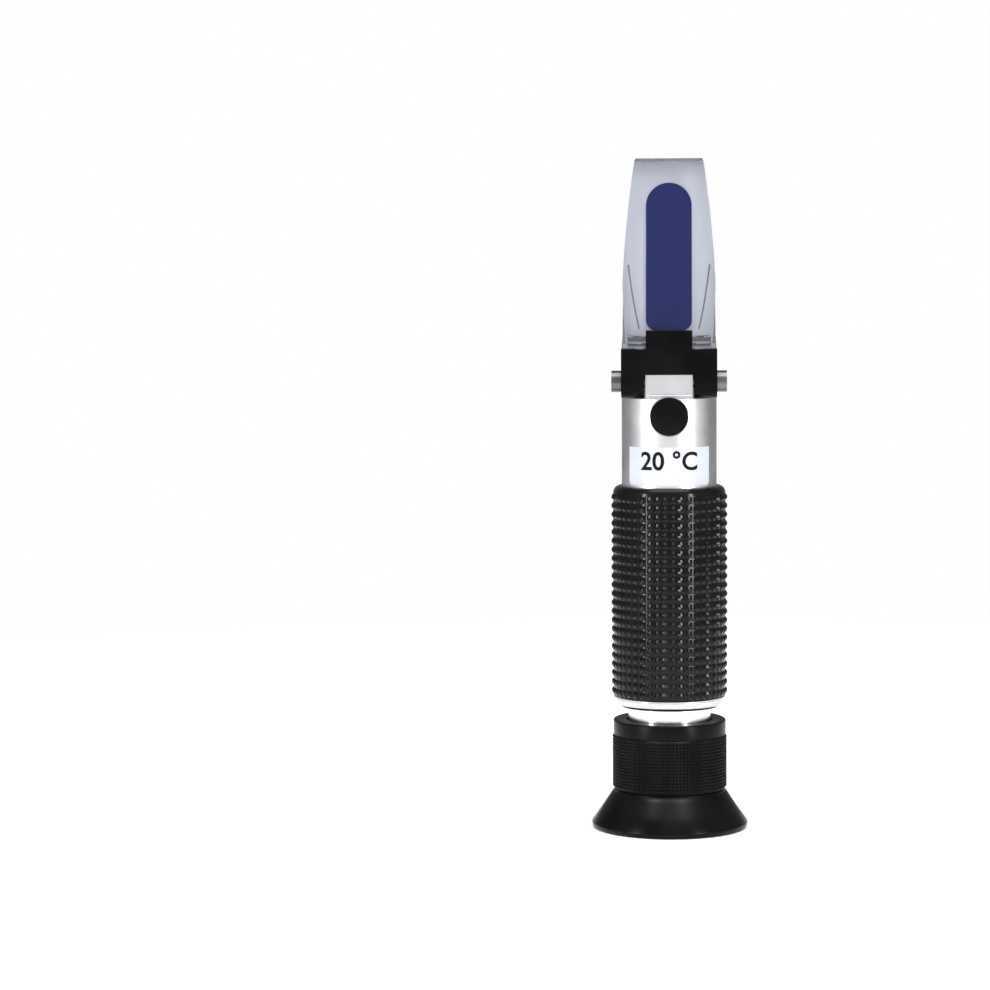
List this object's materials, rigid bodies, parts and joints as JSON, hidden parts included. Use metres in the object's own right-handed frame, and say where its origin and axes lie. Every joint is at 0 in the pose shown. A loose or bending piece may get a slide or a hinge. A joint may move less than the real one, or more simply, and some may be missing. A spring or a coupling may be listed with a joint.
{
  "type": "hand-held refractometer",
  "caption": "Hand-held refractometer: hinged clear daylight plate over a prism, ribbed grip, screw calibration under a rubber cap and a turning focus ring with an eyecup.",
  "frame": {"origin": "centre of the flat rim of the eyecup, on the optical axis", "axes": "+Z along the optical axis from the eyecup to the prism tip; the daylight plate and the calibration cap face -Y; +X to the right as seen from the front"},
  "size_m": [0.0396, 0.0396, 0.1699],
  "materials": {
    "soft_rubber": "satin black",
    "grip_rubber": "studded matt black",
    "black_ring": "knurled black",
    "black_plastic": "matt black",
    "clear_plastic": "clear moulded plastic",
    "blue_plastic": "deep blue, translucent",
    "label": "satin film",
    "optical_glass": "polished",
    "scale_glass": "polished, engraved scale",
    "steel": "turned steel",
    "bimetal": "rolled strip",
    "brass": "turned",
    "black_metal": "matt black anodised",
    "satin_metal": "satin anodised",
    "polished_metal": "polished"
  },
  "bodies": {
    "barrel": {"eyepiece_tube": "satin_metal", "focus_key": "steel", "main_tube": "satin_metal", "end_ring": "polished_metal", "grip_sleeve": "grip_rubber", "tube_lock_screws": "steel", "reticle_holder": "black_metal", "reticle": "scale_glass", "reticle_ring": "black_metal", "spacer_tube": "black_metal", "reticle_spacer": "black_metal", "light_baffle": "black_metal", "prism_head": "satin_metal", "spec_label": "label", "calibration_bush": "brass", "bimetal_clamp": "brass", "clamp_screws": "steel", "prism": "optical_glass", "prism_clamp": "satin_metal", "prism_clamp_screw": "steel", "prism_gasket": "soft_rubber", "hinge_pin": "steel", "hinge_pin_nut": "steel"},
    "cover": {"daylight_plate": "clear_plastic", "blue_filter": "blue_plastic", "hinge_block": "black_plastic"},
    "cap": {"calibration_cap": "soft_rubber"},
    "carrier": {"lens_carrier": "brass", "objective_lens": "optical_glass", "objective_ring": "black_metal", "bimetal_strip": "bimetal"},
    "screw": {"calibration_screw": "brass"},
    "eyepiece": {"eyepiece_barrel": "black_metal", "eye_lens": "optical_glass", "lens_spacer": "black_metal", "field_lens": "optical_glass", "eye_lens_ring": "black_metal"},
    "focus": {"focus_ring": "black_ring", "retainer_ring": "steel", "eyecup": "soft_rubber"}
  },
  "joints": [
    {"name": "cover_hinge", "type": "hinge", "parent": "barrel", "child": "cover", "pos_m": [0, -0.0076, 0.11415], "axis": [1, 0, 0], "range_deg": [0, 80]},
    {"name": "cap_pull", "type": "slide", "parent": "barrel", "child": "cap", "axis": [0, -1, 0], "range_m": [0, 0.012]},
    {"name": "carrier_shift", "type": "slide", "parent": "barrel", "child": "carrier", "axis": [0, 1, 0], "range_m": [-0.00025, 0.00025]},
    {"name": "calibration_turn", "type": "hinge", "parent": "carrier", "child": "screw", "pos_m": [0, -0.007, 0.10545], "axis": [0, 1, 0], "range_deg": [-180, 180]},
    {"name": "focus_slide", "type": "slide", "parent": "barrel", "child": "eyepiece", "axis": [0, 0, 1], "range_m": [-0.0025, 0.0025]},
    {"name": "focus_turn", "type": "hinge", "parent": "eyepiece", "child": "focus", "pos_m": [0, 0, 0.015], "axis": [0, 0, 1], "range_deg": [-180, 180]}
  ],
  "couplings": [
    {"joint": "calibration_turn", "follows": "carrier_shift", "rad_per_m": 12560},
    {"joint": "focus_slide", "follows": "focus_turn", "m_per_rad": 0.000795}
  ]
}
